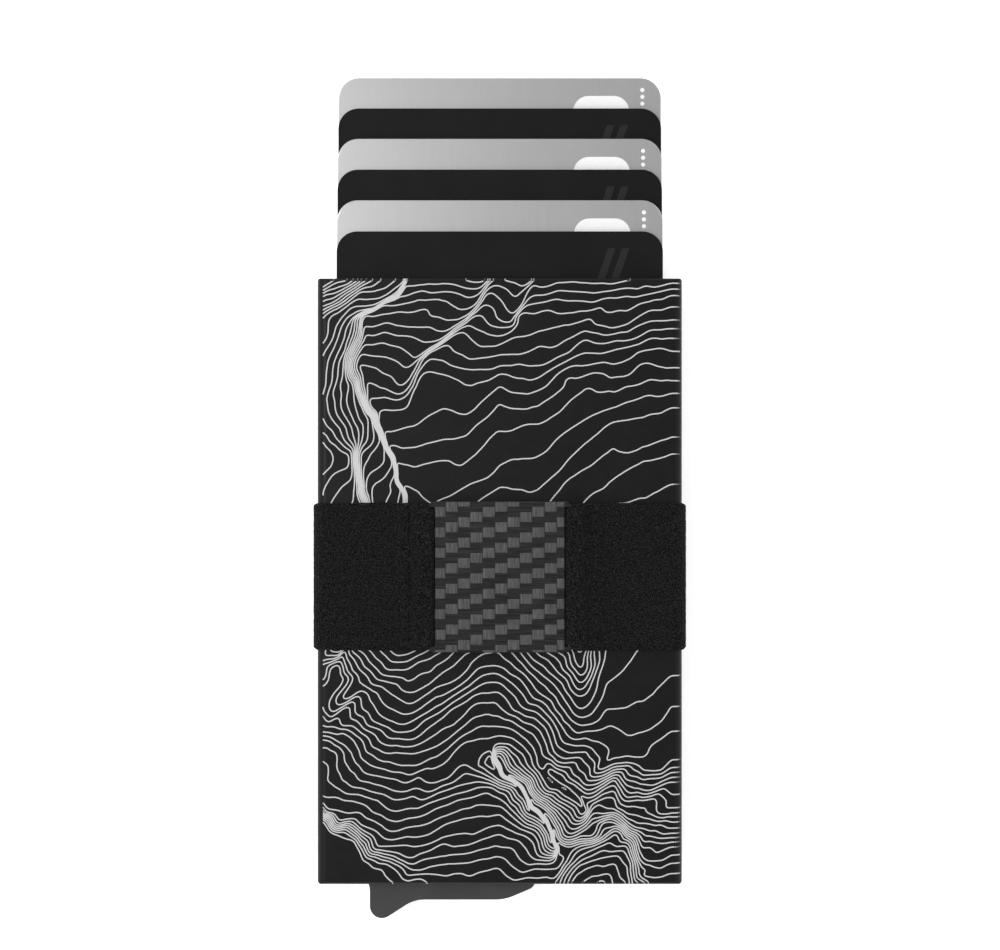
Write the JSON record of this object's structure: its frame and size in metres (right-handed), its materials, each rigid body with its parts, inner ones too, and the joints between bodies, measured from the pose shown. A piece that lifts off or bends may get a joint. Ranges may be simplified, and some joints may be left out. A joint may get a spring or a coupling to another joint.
{
  "type": "minimalist wallet",
  "caption": "Pop-up card wallet: flat contour-engraved aluminium tube with fanned cards, a sprung push-out lever at its foot, and an elastic band with a woven carbon plate.",
  "frame": {"origin": "under the middle of the tube, on the outer back face of the elastic band, which the wallet lies on", "axes": "+X to the right seen from the front, +Y the way the cards come out, +Z from the back of the wallet to its front"},
  "size_m": [0.0616, 0.1402, 0.0115],
  "materials": {
    "anodised": "black anodised, satin, with a pale laser-engraved contour pattern",
    "black_plastic": "matte moulded",
    "steel": "ground",
    "spring_steel": "drawn wire",
    "blade_steel": "stamped, satin",
    "felt": "pressed felt",
    "lever_plastic": "moulded, satin",
    "card_black": "matte printed card",
    "card_silver": "brushed silver card",
    "elastic": "knitted elastic",
    "carbon": "woven carbon under a satin clear coat",
    "thread": "polyester thread"
  },
  "bodies": {
    "frame": {"housing": "anodised", "end_insert": "black_plastic", "pivot_pin": "steel", "return_spring": "spring_steel", "felt_front_left": "felt", "felt_front_right": "felt", "felt_back_left": "felt", "felt_back_right": "felt"},
    "lever": {"lever_grip": "lever_plastic", "lever_rivets": "steel", "fan_blade_1": "blade_steel", "fan_blade_2": "blade_steel", "fan_blade_3": "blade_steel", "fan_blade_4": "blade_steel", "fan_blade_5": "blade_steel", "fan_blade_6": "blade_steel"},
    "card_1": {"card_1": "card_black"},
    "card_2": {"card_2": "card_silver"},
    "card_3": {"card_3": "card_black"},
    "card_4": {"card_4": "card_silver"},
    "card_5": {"card_5": "card_black"},
    "card_6": {"card_6": "card_silver"},
    "strap": {"elastic_band": "elastic", "strap_plate": "carbon", "stitching": "thread"}
  },
  "joints": [
    {"name": "lever_pivot", "type": "hinge", "parent": "frame", "child": "lever", "pos_m": [-0.0215, -0.045, 0.005], "axis": [0, 0, 1], "range_deg": [0, 62], "stiffness_Nm_per_rad": 0.01, "springref_deg": -20.05, "deforming": ["return_spring"]},
    {"name": "card_1_slide", "type": "slide", "parent": "frame", "child": "card_1", "axis": [0, 1, 0], "range_m": [-0.0088, 0.06965]},
    {"name": "card_2_slide", "type": "slide", "parent": "frame", "child": "card_2", "axis": [0, 1, 0], "range_m": [-0.01405, 0.0644]},
    {"name": "card_3_slide", "type": "slide", "parent": "frame", "child": "card_3", "axis": [0, 1, 0], "range_m": [-0.0193, 0.05915]},
    {"name": "card_4_slide", "type": "slide", "parent": "frame", "child": "card_4", "axis": [0, 1, 0], "range_m": [-0.02455, 0.0539]},
    {"name": "card_5_slide", "type": "slide", "parent": "frame", "child": "card_5", "axis": [0, 1, 0], "range_m": [-0.0298, 0.04865]},
    {"name": "card_6_slide", "type": "slide", "parent": "frame", "child": "card_6", "axis": [0, 1, 0], "range_m": [-0.03505, 0.0434]},
    {"name": "strap_slide", "type": "slide", "parent": "frame", "child": "strap", "axis": [0, 1, 0], "range_m": [-0.036, 0.036]}
  ]
}
